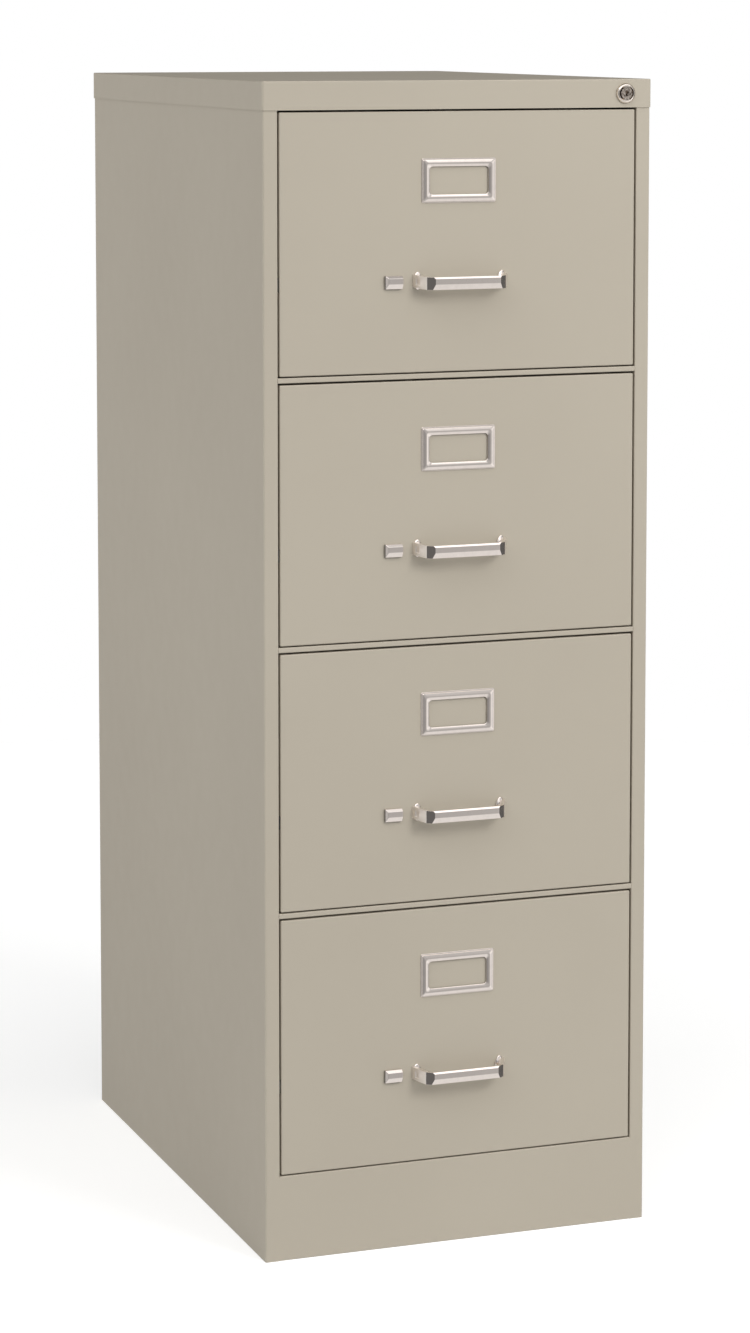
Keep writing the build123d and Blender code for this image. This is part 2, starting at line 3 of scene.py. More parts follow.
import bmesh
import bpy
import numpy as np
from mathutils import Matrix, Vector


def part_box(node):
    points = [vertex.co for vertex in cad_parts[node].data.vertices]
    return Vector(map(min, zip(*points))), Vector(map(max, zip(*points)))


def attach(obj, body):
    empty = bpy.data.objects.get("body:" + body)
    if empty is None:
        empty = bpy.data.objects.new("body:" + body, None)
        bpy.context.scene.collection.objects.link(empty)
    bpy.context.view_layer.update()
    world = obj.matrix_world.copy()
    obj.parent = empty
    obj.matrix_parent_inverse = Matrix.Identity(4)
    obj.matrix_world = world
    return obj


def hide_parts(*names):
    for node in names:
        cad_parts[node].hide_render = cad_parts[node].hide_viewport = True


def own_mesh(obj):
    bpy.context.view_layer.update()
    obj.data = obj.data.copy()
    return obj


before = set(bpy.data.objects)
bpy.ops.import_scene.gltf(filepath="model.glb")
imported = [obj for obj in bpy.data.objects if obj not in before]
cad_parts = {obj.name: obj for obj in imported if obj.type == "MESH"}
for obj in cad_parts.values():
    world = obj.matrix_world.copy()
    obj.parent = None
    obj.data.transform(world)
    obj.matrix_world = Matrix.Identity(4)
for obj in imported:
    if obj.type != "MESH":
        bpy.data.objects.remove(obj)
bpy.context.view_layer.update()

# The studio: a plain pale floor that fades into white paper, a large soft lamp at the upper right
# and a small one low at the left. Polished metal mirrors the room instead: white screens with dark
# gaps between them all round, a screen above the front, and a bright floor.
studio = bpy.context.scene
studio.view_settings.view_transform = "Standard"


def feed(tree, node, inputs):
    """Gives each named input of a node a value or another node's output."""
    for name, value in inputs.items():
        if isinstance(value, bpy.types.NodeSocket):
            tree.links.new(value, node.inputs[name])
        else:
            node.inputs[name].default_value = value
    return node


def shader_node(tree, kind, inputs=None, **settings):
    """Adds a node, with its settings, and feeds its inputs."""
    node = tree.nodes.new(kind)
    for name, value in settings.items():
        setattr(node, name, value)
    return feed(tree, node, inputs or {})


def worked_out(tree, operation, *values):
    """The result of one operation on the values, in their order."""
    node = shader_node(tree, "ShaderNodeMath", dict(enumerate(values)), operation=operation)
    return node.outputs["Value"]


def mapped(tree, value, source, target=(0.0, 1.0), course="LINEAR"):
    """A value carried from the source's range to the target's, and held at its ends."""
    ends = dict(zip(("From Min", "From Max", "To Min", "To Max"), (*source, *target)))
    node = shader_node(
        tree, "ShaderNodeMapRange", {"Value": value, **ends}, interpolation_type=course
    )
    return node.outputs["Result"]


def colour_ramp(tree, factor, stops):
    """A ramp through the (place, colour) stops, read at the factor. One number is a grey."""
    ramp = shader_node(tree, "ShaderNodeValToRGB", {"Fac": factor})
    while len(ramp.color_ramp.elements) < len(stops):
        ramp.color_ramp.elements.new(0.5)
    for element, (place, colour) in zip(ramp.color_ramp.elements, stops):
        element.position = place
        element.color = (*np.broadcast_to(colour, 3), 1.0)
    return ramp.outputs["Color"]


def faded(tree, share, first, second):
    """The first light, fading into the second as the share goes from 0 to 1."""
    node = shader_node(
        tree, "ShaderNodeMix", {"Factor": share, "A": first, "B": second}, data_type="VECTOR"
    )
    return node.outputs["Result"]


surroundings = bpy.data.worlds.new("surroundings")
surroundings.use_nodes = True
sky = surroundings.node_tree
direction = shader_node(sky, "ShaderNodeTexCoord").outputs["Generated"]
split = shader_node(sky, "ShaderNodeSeparateXYZ", {"Vector": direction})
rightward, rearward, upward = (split.outputs[axis] for axis in "XYZ")
frontward = worked_out(sky, "MULTIPLY", rearward, -1.0)
turned = worked_out(sky, "ARCTAN2", rightward, frontward)
turn_share = worked_out(sky, "MULTIPLY_ADD", turned, 1 / math.tau, 0.5)
light_by_degrees = [
    (-180, 0.10), (-158, 0.26), (-138, 1.10), (-86, 1.20), (-68, 0.45), (-52, 0.12),
    (-34, 0.22), (0, 0.52), (21, 0.46), (34, 0.85), (48, 1.05), (64, 0.80),
    (78, 0.20), (92, 0.10), (112, 0.40), (146, 0.14), (180, 0.10),
]
screen_light = colour_ramp(
    sky, turn_share, [(0.5 + degrees / 360, light) for degrees, light in light_by_degrees]
)
light_by_height = [(0.3, 0.50), (0.48, 0.62), (0.66, 1.6), (0.94, 1.5), (1.0, 0.7)]
overhead = colour_ramp(sky, upward, light_by_height)
to_rear = mapped(sky, rearward, (-0.32, 0.05), (1.0, 0.08))
to_left = mapped(sky, rightward, (-0.7, 0.0), (1.7, 1.0))
share = worked_out(sky, "MULTIPLY", to_rear, to_left)
ceiling = shader_node(
    sky, "ShaderNodeVectorMath", {0: overhead, "Scale": share}, operation="SCALE"
).outputs["Vector"]
raised = mapped(sky, upward, (0.15, 0.5), course="SMOOTHSTEP")
lowered = mapped(sky, upward, (-0.42, -0.68), course="SMOOTHSTEP")
room = faded(sky, raised, screen_light, ceiling)
bright_floor = (0.84, 0.84, 0.84)
around = faded(sky, lowered, room, bright_floor)
walls = shader_node(sky, "ShaderNodeBackground", {"Color": around, "Strength": 1.0})
white = (1.0, 1.0, 1.0, 1.0)
paper = shader_node(sky, "ShaderNodeBackground", {"Color": white, "Strength": 1.0})
seen = shader_node(sky, "ShaderNodeLightPath").outputs["Is Camera Ray"]
behind = shader_node(
    sky, "ShaderNodeMixShader", {0: seen, 1: walls.outputs[0], 2: paper.outputs[0]}
)
sky.links.new(behind.outputs[0], sky.nodes["World Output"].inputs["Surface"])
sky.nodes.remove(sky.nodes["Background"])
studio.world = surroundings


def patterned(name):
    """A new material, its nodes, its shader, and the place on the piece that patterns follow."""
    material = bpy.data.materials.new(name)
    material.use_nodes = True
    tree = material.node_tree
    place = shader_node(tree, "ShaderNodeTexCoord").outputs["Object"]
    return material, tree, tree.nodes["Principled BSDF"], place


def cloudy(tree, place, scale, detail):
    """A cloudy pattern from 0 to 1, with that many clouds to the metre."""
    node = shader_node(
        tree, "ShaderNodeTexNoise", {"Vector": place, "Scale": scale, "Detail": detail}
    )
    return node.outputs["Fac"]


floor_corners = [(-4, -4, 0), (4, -4, 0), (4, 4, 0), (-4, 4, 0)]
floor_mesh = bpy.data.meshes.new("floor")
floor_mesh.from_pydata(floor_corners, [], [(0, 1, 2, 3)])
floor = bpy.data.objects.new("floor", floor_mesh)
floor.visible_glossy = False
studio.collection.objects.link(floor)
floor_paint, floor_tree, floor_shader, floor_place = patterned("pale_floor")
floor_cloud = cloudy(floor_tree, floor_place, 1.5, 4.0)
floor_tones = [(0.3, (0.58, 0.58, 0.575)), (0.7, (0.61, 0.61, 0.605))]
floor_seen = shader_node(floor_tree, "ShaderNodeLightPath").outputs["Is Camera Ray"]
floor_far = shader_node(
    floor_tree, "ShaderNodeVectorMath", {0: floor_place}, operation="LENGTH"
).outputs["Value"]
feed(floor_tree, floor_shader, {
    "Base Color": colour_ramp(floor_tree, floor_cloud, floor_tones),
    "Roughness": 0.9,
    "Specular IOR Level": 0.2,
    "Emission Color": white,
    "Emission Strength": mapped(floor_tree, floor_seen, (0.0, 1.0), (0.0, 0.6)),
    "Alpha": mapped(floor_tree, floor_far, (1.6, 3.4), (1.0, 0.0), "SMOOTHSTEP"),
})
floor_mesh.materials.append(floor_paint)


def soft_lamp(name, place, target, size, power):
    """A square lamp at a place, turned to face the target. It lights the pieces, and neither the
    camera nor a reflection sees it."""
    lamp = bpy.data.lights.new(name, "AREA")
    lamp.size = size
    lamp.energy = power
    stand = bpy.data.objects.new(name, lamp)
    stand.visible_camera = False
    stand.visible_glossy = False
    studio.collection.objects.link(stand)
    across, along, down = (t - p for t, p in zip(target, place))
    stand.location = place
    stand.rotation_euler = (
        math.atan2(math.hypot(across, along), -down),
        0,
        math.atan2(-across, along),
    )


soft_lamp("key_lamp", (1.7, -3.6, 2.7), (0.0, -0.3, 0.85), 1.5, 71)
soft_lamp("fill_lamp", (-2.6, 0.2, 0.45), (-0.23, 0.0, 0.30), 0.9, 9)

# The camera stands to the cabinet's left, at about the height of its top, and looks a little down.
# Its lens is shifted in its mount, as the photograph's upright edges show.
degrees_down, degrees_right = 5.35, 20.129
view_data = bpy.data.cameras.new("camera")
view_data.sensor_fit = "AUTO"
view_data.sensor_width = 36.0
view_data.lens = 99.674
view_data.shift_y = -0.227
view_data.clip_end = 200.0
camera = bpy.data.objects.new("camera", view_data)
camera.location = (-1.5009, -4.1433, 1.3889)
camera.rotation_euler = (math.radians(90 - degrees_down), 0, math.radians(-degrees_right))
studio.collection.objects.link(camera)
studio.camera = camera

# The case and the drawer boxes: folded steel sheet, sprayed with putty coloured enamel and baked.
# The film is smooth and half glossy, with a fine orange peel, and the large sheets are never quite
# flat.


def relief(tree, pattern, depth, under=None):
    """A normal that tilts with the slope of the pattern times the depth, in metres, on top of
    another normal where there is one."""
    inputs = {"Height": pattern, "Strength": 1.0, "Distance": depth}
    if under is not None:
        inputs["Normal"] = under
    return shader_node(tree, "ShaderNodeBump", inputs).outputs["Normal"]


def baked_enamel(name, tones, gloss):
    """Paint whose colour drifts slowly between two tones, whose roughness varies in patches about
    the gloss, and whose normal adds fine pimples to slow waves of the sheet beneath."""
    material, tree, shader, place = patterned(name)
    drift = cloudy(tree, place, 2.6, 3.0)
    patches = cloudy(tree, place, 34.0, 4.0)
    waves = relief(tree, cloudy(tree, place, 4.5, 1.0), 0.0005)
    pimples = relief(tree, cloudy(tree, place, 620.0, 2.0), 0.00003, waves)
    feed(tree, shader, {
        "Base Color": colour_ramp(tree, drift, [(0.3, tones[0]), (0.7, tones[1])]),
        "Roughness": mapped(tree, patches, (0.3, 0.7), (gloss - 0.035, gloss + 0.035)),
        "Normal": pimples,
        "IOR": 1.5,
    })
    return material


putty_enamel = baked_enamel("putty_enamel", ((0.453, 0.406, 0.330), (0.474, 0.427, 0.348)), 0.42)
drawers = (1, 2, 3, 4)


def in_each_drawer(*pieces):
    """The names of these pieces in all four drawers."""
    return [f"{piece}_{n}" for piece in pieces for n in drawers]


def finish_nodes(names, material):
    """Gives CAD nodes a finish in place of the plain one that they came with."""
    for name in names:
        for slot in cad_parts[name].material_slots:
            slot.material = material


case_sheets = [
    "left_side_panel", "right_side_panel", "back_panel", "top_cap",
    "base_front", "base_rear_rail", "cross_rails",
]
finish_nodes(case_sheets + in_each_drawer("drawer_front", "drawer_tray"), putty_enamel)

# The running gear and the frame inside the case: rolled strip, zinc plated, with the plating's
# grey bloom and fine crystals still on it.


def zinc_plate(name, tones, gloss, crystal_share=0.35):
    """Bare plated steel: the brightness is a cloudy bloom plus a share of the small crystals' own,
    and where it is brighter it is also smoother."""
    material, tree, shader, place = patterned(name)
    crystals = shader_node(tree, "ShaderNodeTexVoronoi", {"Vector": place, "Scale": 260.0})
    bloom = cloudy(tree, place, 22.0, 5.0)
    crystal_tone = shader_node(
        tree, "ShaderNodeSeparateXYZ", {"Vector": crystals.outputs["Color"]}
    ).outputs["X"]
    brightness = worked_out(tree, "MULTIPLY_ADD", crystal_tone, crystal_share, bloom)
    feed(tree, shader, {
        "Base Color": colour_ramp(tree, brightness, [(0.3, tones[0]), (0.95, tones[1])]),
        "Roughness": mapped(tree, brightness, (0.0, 1.0), (gloss + 0.10, gloss - 0.06)),
        "Normal": relief(tree, bloom, 0.00012),
        "Metallic": 1.0,
    })
    return material


# The dark plate is the bolts' own finish, and it is also painted shade on the latch pads' foot and
# outer end.
dull_zinc_and_painted_shade = zinc_plate("dull_zinc_and_painted_shade", ((0.10, 0.10, 0.10), (0.17, 0.17, 0.17)), 0.55)
bright_zinc = zinc_plate("bright_zinc", ((0.36, 0.365, 0.365), (0.54, 0.545, 0.545)), 0.38)
case_frame = [
    "uprights", "corner_gussets", "levelling_glides", "left_case_channels",
    "right_case_channels", "lock_crank", "lock_bar",
]
finish_nodes(case_frame + in_each_drawer("drawer_rails", "cradle", "follower"), bright_zinc)

# The rollers: turned from cream nylon, a little see-through at their rims, and dulled by running
# in the channels.


def turned_nylon(name, tones):
    """Nylon with faint stains and scuffs, and softly lit through its skin."""
    material, tree, shader, place = patterned(name)
    stains = cloudy(tree, place, 160.0, 4.0)
    feed(tree, shader, {
        "Base Color": colour_ramp(tree, stains, [(0.35, tones[0]), (0.7, tones[1])]),
        "Roughness": 0.46,
        "Normal": relief(tree, stains, 0.00005),
        "Subsurface Weight": 0.12,
        "Subsurface Radius": (0.002, 0.0018, 0.0014),
    })
    return material


cream_nylon = turned_nylon("cream_nylon", ((0.62, 0.60, 0.54), (0.74, 0.72, 0.66)))
finish_nodes(in_each_drawer("rollers_front", "rollers_rear"), cream_nylon)

# The pulls: die cast bars with a flat brow between two bevels, on arms that spread to the drawer
# front. Each arm has a shallow pocket, and a flat facet turns the corner. They are chromed, but
# polished only along the bar, and a screw from inside the drawer front holds each foot.


def polished_chrome(name, tone, gloss):
    """Bright plate: a metal mirror with a faint haze that comes and goes and dulls its tone a
    little, and with very slight ripples."""
    material, tree, shader, place = patterned(name)
    haze = cloudy(tree, place, 140.0, 3.0)
    hazy_tone = tuple(0.96 * channel for channel in tone)
    ripples = cloudy(tree, place, 90.0, 1.0)
    feed(tree, shader, {
        "Base Color": colour_ramp(tree, haze, [(0.3, tone), (0.7, hazy_tone)]),
        "Roughness": mapped(tree, haze, (0.3, 0.7), (gloss, gloss + 0.07)),
        "Normal": relief(tree, ripples, 0.00002),
        "Metallic": 1.0,
    })
    return material


bright_chrome = polished_chrome("bright_chrome", (0.88, 0.80, 0.745), 0.07)
soft_chrome = polished_chrome("soft_chrome", (0.95, 0.90, 0.86), 0.34)


sharp_from, rounded_from = math.radians(32), math.radians(10)


def solid_piece(name, points, faces, material, round_edges=0.0, other=None, other_faces=()):
    """A mesh from points in metres and faces by number, all turned outwards. Its edges may be
    rounded a little, and some of its faces may have another finish."""
    mesh = bpy.data.meshes.new(name)
    corners = np.asarray(points, float).tolist()
    mesh.from_pydata(corners, [], [list(map(int, face)) for face in faces])
    shell = bmesh.new()
    shell.from_mesh(mesh)
    bmesh.ops.recalc_face_normals(shell, faces=shell.faces)
    shell.to_mesh(mesh)
    shell.free()
    mesh.shade_smooth()
    mesh.set_sharp_from_angle(angle=sharp_from)
    mesh.materials.append(material)
    if other:
        mesh.materials.append(other)
        has_other = np.isin(np.arange(len(faces)), other_faces)
        mesh.polygons.foreach_set("material_index", has_other.astype(np.int32))
    piece = bpy.data.objects.new(name, mesh)
    studio.collection.objects.link(piece)
    if round_edges:
        rounding = piece.modifiers.new("rounded_edges", "BEVEL")
        rounding.width = round_edges
        rounding.segments = 3
        rounding.limit_method = "ANGLE"
        rounding.angle_limit = rounded_from
        rounding.harden_normals = True
    return piece


def tube_faces(stations, around, closed=False):
    """Quads between each two neighbouring rings of a grid, rings x points round. The points close
    round each ring, and where the grid is closed, the last ring also joins the first."""
    ring = np.arange(stations if closed else stations - 1)[:, None]
    point = np.arange(around)[None, :]
    next_ring, after = (ring + 1) % stations, (point + 1) % around
    corners = [(ring, point), (ring, after), (next_ring, after), (next_ring, point)]
    return np.stack([row * around + column for row, column in corners], axis=-1)


def capped_tube(rings):
    """The points and faces of a tube of rings, with one face over each end."""
    count, around = rings.shape[:2]
    faces = tube_faces(count, around).reshape(-1, 4).tolist()
    faces += [list(range(around)), list(range((count - 1) * around, count * around))]
    return rings.reshape(-1, 3), faces


def full_turn(steps):
    """Equal steps of angle, once round."""
    return np.linspace(0, 2 * np.pi, steps, endpoint=False)


def turned_rings(profile, sides):
    """A profile of radius and distance out, carried round an axis that points outwards."""
    radius, out = np.array(profile).T[:, :, None]
    across, up = radius * np.cos(full_turn(sides)), radius * np.sin(full_turn(sides))
    return np.stack([across, np.repeat(out, sides, axis=1), up], axis=-1)


def joined(*lumps):
    """Several lumps' points in one list and their faces in another, numbered through."""
    points, faces = np.zeros((0, 3)), []
    for lump_points, lump_faces in lumps:
        faces += [[number + len(points) for number in face] for face in lump_faces]
        points = np.concatenate([points, lump_points])
    return points, faces


mm = 0.001
face_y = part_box("drawer_front_1")[0].y
pull_span_wall, pull_span_corner, pull_span_front = 56.2, 47.0, 38.6
pull_out_corner, pull_out_front = 21.0, 26.95
pull_droop, pull_bow, pull_half_high = 2.0, 0.9, 7.0
bar_heights = np.array([7.1, 5.1, 4.0, -0.9, -4.6, -7.1])
arm_heights = np.array([7.0, 5.4, 3.5, 0.0, -3.5, -7.0])
bar_outs = np.array([25.6, 26.95, 26.95, 26.95, 25.75, 24.9])
pocket_from, pocket_to, pocket_sunk = 5.8, 11.6, 0.8
pull_inside = [(51.2, 0.0), (48.9, pocket_from), (46.7, pocket_to), (43.0, 18.4), (37.4, 22.4)]
boss_middle, boss_half_wide, boss_half_high, boss_out = 50.6, 5.6, 10.0, 4.2
boss_profile = [(1.0, 0.0), (1.0, 1.1), (0.93, 1.7), (0.52, boss_out - 0.8), (0.2, boss_out)]
boss_sides, boss_power = 40, 1.2
screw_middle, screw_sides = 47.5, 32
screw_profile = [(1.9, 0.2), (1.9, -1.0), (4.0, -1.0), (4.3, -1.7), (4.0, -2.5), (2.4, -2.9)]


def on_front(points, x, z, y=face_y):
    """Points across, out and up in millimetres, put about the place x, z on the sheet at y."""
    across, out, up = points.reshape(-1, 3).T * mm
    return np.stack([x + across, y - out, z + up], axis=-1)


def pull_surface():
    """Rings of eight points at ten stations from one foot to the other: six down the outside and
    two up the inside. On an arm, a ring's points lie on the line from the foot to the corner, which
    droops a little, and their heights change into those of the bar. At the front they lie where the
    corner's facet, which runs back at a fixed slope, meets the brow or a bevel. The other half is
    the mirror image."""
    out = np.array([0.0, pocket_from, pocket_to, pull_out_corner])
    share = (out / pull_out_corner)[:, None]
    bowed = pull_bow * np.sin(np.pi * share)
    outside = pull_span_wall + (pull_span_corner - pull_span_wall) * share + bowed
    raised = pull_droop * (1 - share)
    mixed = np.where(share < 1, arm_heights, bar_heights)
    facet_slope = (pull_span_corner - pull_span_front) / (pull_out_front - pull_out_corner)
    bar_across = pull_span_front + (pull_out_front - bar_outs) * facet_slope
    outside_count = len(bar_heights)
    outer = np.stack(
        [
            np.vstack([np.repeat(outside, outside_count, axis=1), bar_across]),
            np.vstack([np.repeat(out[:, None], outside_count, axis=1), bar_outs]),
            np.vstack([mixed + raised, bar_heights]),
        ],
        axis=-1,
    )
    inside = np.repeat(np.array(pull_inside)[:, None], 2, axis=1)
    inside_heights = np.append(raised, 0.0)[:, None] + np.array([-pull_half_high, pull_half_high])
    inner = np.concatenate([inside, inside_heights[:, :, None]], axis=-1)
    half = np.concatenate([outer, inner], axis=1)
    mirrored = half[::-1] * np.array([-1, 1, 1])
    return np.concatenate([half, mirrored])


def foot_boss(side):
    """A boss of five rings on the drawer front. Each is a rounded diamond: the power of one and
    two thirds of the distance across and of the height, each in half sizes, adds up to one."""
    turn = full_turn(boss_sides)
    across = np.sign(np.cos(turn)) * np.abs(np.cos(turn)) ** boss_power
    up = np.sign(np.sin(turn)) * np.abs(np.sin(turn)) ** boss_power
    size, out = np.array(boss_profile).T[:, :, None]
    lean = out * (pull_span_wall - pull_span_corner) / pull_out_corner
    rings = np.stack(
        [
            side * (boss_middle - lean + boss_half_wide * size * across),
            out + 0 * across,
            pull_droop * (1 - out / pull_out_corner) + boss_half_high * size * up,
        ],
        axis=-1,
    )
    return capped_tube(rings)


def foot_screw(side):
    """A washer head behind the drawer front's sheet, and a stem that fills the hole: a profile
    turned about the screw's axis."""
    axis = np.array([side * screw_middle, 0, 0])
    return capped_tube(turned_rings(screw_profile, screw_sides) + axis)


def make_pull(name, centre_x, centre_z):
    """The rings joined round, with a pocket sunk in each arm, and a boss and a screw at each foot.
    A pocket opens in two of an arm's outer faces. Its floor is its rim moved inwards, and its
    walls join the two."""
    rings = pull_surface()
    stations, around = rings.shape[:2]
    faces = tube_faces(stations, around)
    pockets, pocket_faces = [], []
    opened = -1
    for left, right, inward in ((1, 2, -1), (stations - 3, stations - 2, 1)):
        faces[left, 2:4] = opened
        rim = [(left, 2), (left, 3), (left, 4), (right, 4), (right, 3), (right, 2)]
        above = [station * around + point for station, point in rim]
        below = [stations * around + len(pockets) + n for n in range(len(rim))]
        pockets += [rings[place] + np.array([inward * pocket_sunk, 0, 0]) for place in rim]
        next_above, next_below = above[1:] + above[:1], below[1:] + below[:1]
        pocket_faces += list(zip(above, next_above, next_below, below))
        pocket_faces += [[below[n] for n in quad] for quad in ((0, 1, 4, 5), (1, 2, 3, 4))]
    from_foot, strips_on_arm = np.arange(stations - 1), 3
    on_arm = np.minimum(from_foot, from_foot[::-1]) < strips_on_arm
    bar = faces[~on_arm].reshape(-1, 4).tolist()
    arms = [face for face in faces[on_arm].reshape(-1, 4).tolist() if face[0] != opened]
    ends = [list(range(around))[::-1], list(range((stations - 1) * around, stations * around))]
    body_points = np.concatenate([rings.reshape(-1, 3), np.array(pockets)])
    body_faces = bar + arms + pocket_faces + ends
    unpolished = range(len(bar), len(body_faces))
    feet = foot_boss(-1), foot_boss(1), foot_screw(-1), foot_screw(1)
    points, faces = joined((body_points, body_faces), *feet)
    placed = on_front(points, centre_x, centre_z)
    return solid_piece(
        name, placed, faces, bright_chrome, round_edges=0.4 * mm,
        other=soft_chrome, other_faces=unpolished,
    )


opening_gap = 2.2 * mm
opening_tops = [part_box(f"drawer_front_{n}")[1].z + opening_gap for n in drawers]
pull_low = 0.6 * mm
pull_drop = 191.2 * mm
for n, top in zip(drawers, opening_tops):
    pull = make_pull(f"pull_{n}", 0.0, top - pull_drop - pull_low)
    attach(pull, f"drawer_{n}")
    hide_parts(f"handle_{n}")

# The thumb latches: a small chromed pad beside each pull, bevelled above, below and at its outer
# end. Its foot and outer end wall get the near-black plate as painted shade, for the pad's shadow
# and the gap beneath it. It slides on a neck through the drawer front, and carries the bolt that
# reaches to the left stile, with a lug behind for the spring.
latch_left, latch_right, latch_top, latch_foot = -89.2, -69.0, 7.4, -7.3
brow_left, brow_top, brow_foot = latch_left + 3.0, 4.5, -1.7
latch_outs = (0.3, 3.0, 6.0)
latch_bolt = [
    ((-86.5, -3.0, -4.0), (-78.5, 0.3, 4.0)),
    ((-213.5, -4.5, -7.5), (-66.0, -3.0, 7.5)),
    ((-67.0, -13.5, -5.0), (-66.0, -3.0, 5.0)),
]


def rectangle(left, right, top, foot):
    """Its four corners, clockwise from the top left."""
    return [(left, top), (right, top), (right, foot), (left, foot)]


def latch_pad():
    """Twelve corners: a rectangle at the drawer front, the same at half the height of the pad, and
    a smaller one at the brow, set in from the left, the top and more from the foot."""
    sides = rectangle(latch_left, latch_right, latch_top, latch_foot)
    brow = rectangle(brow_left, latch_right, brow_top, brow_foot)
    levels = zip((sides, sides, brow), latch_outs)
    points = np.array([(x, out, up) for line, out in levels for x, up in line])
    faces = [(0, 1, 2, 3), (0, 4, 5, 1), (1, 5, 9, 10, 6, 2), (2, 6, 7, 3), (3, 7, 4, 0)]
    return points, faces + [(4, 7, 11, 8), (4, 8, 9, 5), (7, 6, 10, 11), (8, 11, 10, 9)]


def block(low, high):
    """The eight corners and six faces of a rectangular lump. The binary digits of a corner's
    number say which of its three places are the high ones."""
    corners = np.where(np.arange(8)[:, None] >> np.arange(3) & 1, high, low)
    sides = [(0, 4, 6, 2), (1, 3, 7, 5), (0, 1, 5, 4), (2, 6, 7, 3), (0, 2, 3, 1), (4, 5, 7, 6)]
    return corners, sides


# The pad's foot and outer end walls, which take the dark plate as painted shade.
painted_shade_foot_and_end = (3, 4)
for n, top in zip(drawers, opening_tops):
    points, faces = latch_pad()
    placed = on_front(points, 0.0, top - pull_drop)
    pad = solid_piece(
        f"latch_pad_{n}", placed, faces, bright_chrome, round_edges=0.35 * mm,
        other=dull_zinc_and_painted_shade, other_faces=painted_shade_foot_and_end,
    )
    points, faces = joined(*(block(low, high) for low, high in latch_bolt))
    placed = on_front(points, 0.0, top - pull_drop)
    bolt = solid_piece(f"latch_bolt_{n}", placed, faces, dull_zinc_and_painted_shade, round_edges=0.2 * mm)
    for piece in (pad, bolt):
        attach(piece, f"latch_{n}")
        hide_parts(f"thumb_latch_{n}")

# The latch springs: a flat strip folded to and fro behind each drawer front, with a tab at each
# end, between the bolt's lug and a bracket. The pad's slide squeezes the real spring to three
# quarters. This strip is drawn at its resting length.
strip_thick, strip_wide, strip_swing = 0.4, 8.0, 2.9
strip_stations = 81
tab_half_high = 3.3
spring_gap = 0.05 * mm


def folded_strip(length, swing, thick, wide):
    """A strip whose middle line is a cosine of two periods, y = swing cos(4 pi s) at x = length s.
    Its faces are half its thickness away along the normal, (4 pi swing sin(4 pi s), length)."""
    share = np.linspace(0, 1, strip_stations)
    slope = 4 * np.pi * swing * np.sin(4 * np.pi * share)
    normal = np.stack([slope, np.full_like(slope, length)]) / np.hypot(slope, length)
    middle = np.stack([length * share, swing * np.cos(4 * np.pi * share)])
    lines = [
        np.vstack([middle + face * thick / 2 * normal, np.full_like(share, edge * wide / 2)])
        for face, edge in ((-1, -1), (1, -1), (1, 1), (-1, 1))
    ]
    return capped_tube(np.stack(lines).transpose(2, 0, 1))


def end_tab(x):
    """A plate across the strip's end, as thick as the strip."""
    low = (x, -tab_half_high, -strip_wide / 2)
    return block(low, (x + strip_thick, tab_half_high, strip_wide / 2))


for n in drawers:
    spring_low, spring_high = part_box(f"latch_spring_{n}")
    spring_start, spring_long = spring_low.x + spring_gap, spring_high.x - spring_low.x - spring_gap
    middle_y, middle_z = (spring_low.y + spring_high.y) / 2, (spring_low.z + spring_high.z) / 2
    between_tabs = spring_long / mm - strip_thick
    strip_points, strip_faces = folded_strip(between_tabs, strip_swing, strip_thick, strip_wide)
    strip_points = strip_points + np.array([strip_thick / 2, 0.0, 0.0])
    points, faces = joined((strip_points, strip_faces), end_tab(0.0), end_tab(between_tabs))
    placed = np.array([spring_start, middle_y, middle_z]) + points * mm
    spring = solid_piece(f"spring_strip_{n}", placed, faces, bright_zinc)
    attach(spring, f"drawer_{n}")
    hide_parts(f"latch_spring_{n}")
    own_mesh(spring)

# The label holders: a pressed and chromed frame on each drawer front, with a crowned rail between
# a bevelled skirt outside and a bevelled lip inside, and a pocket behind the lip for a card.
label_profile = [
    (0.0, 0.0, 2.2), (0.0, 0.7, 2.2), (0.3, 1.0, 2.1), (1.3, 1.15, 1.9), (1.4, 2.0, 1.9),
    (1.6, 2.3, 1.9), (2.0, 2.47, 2.0), (3.0, 2.87, 2.1), (4.0, 3.27, 2.3), (4.7, 3.53, 2.5),
    (5.1, 3.6, 2.6), (5.6, 3.6, 2.7), (6.4, 3.43, 3.0), (7.2, 3.13, 3.3), (8.0, 2.78, 3.5),
    (8.9, 2.35, 3.7), (9.2, 2.1, 3.7), (9.25, 1.9, 3.7), (9.25, 1.15, 3.7), (5.0, 1.15, 2.4),
    (5.0, 0.0, 2.4),
]
label_half_wide, label_half_high = 44.25, 24.75
label_x = -1.5 * mm
label_drop = 79.0 * mm
corner_steps = 9


def rim_surface(half_wide, half_high, profile, steps):
    """A moulding round a rounded rectangle. Each point of the profile has an inset from the
    outside line, a height and the radius of its corners, which are quarter circles about a centre
    that far in from both sides."""
    inset, rise, radius = np.array(profile).T
    turn = np.radians(np.concatenate([np.linspace(0, 90, steps) + 90 * q for q in range(4)]))
    side = np.repeat([1, -1, -1, 1], steps)
    level = np.repeat([1, 1, -1, -1], steps)
    across = side * (half_wide - inset - radius)[:, None] + radius[:, None] * np.cos(turn)
    up = level * (half_high - inset - radius)[:, None] + radius[:, None] * np.sin(turn)
    return np.stack([across, np.broadcast_to(rise[:, None], across.shape), up], axis=-1)


for n, top in zip(drawers, opening_tops):
    rings = rim_surface(label_half_wide, label_half_high, label_profile, corner_steps)
    placed = on_front(rings, label_x, top - label_drop)
    faces = tube_faces(*rings.shape[:2], closed=True).reshape(-1, 4)
    holder = solid_piece(
        f"label_frame_{n}", placed, faces, bright_chrome, round_edges=0.12 * mm
    )
    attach(holder, f"drawer_{n}")
    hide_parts(f"label_holder_{n}")

# The lock: a nickel plated ring and barrel through the cap's lip, with a turning plug. A groove
# round the plug is broken at the top and foot, and the plug has a keyhole in a slightly sunk face.


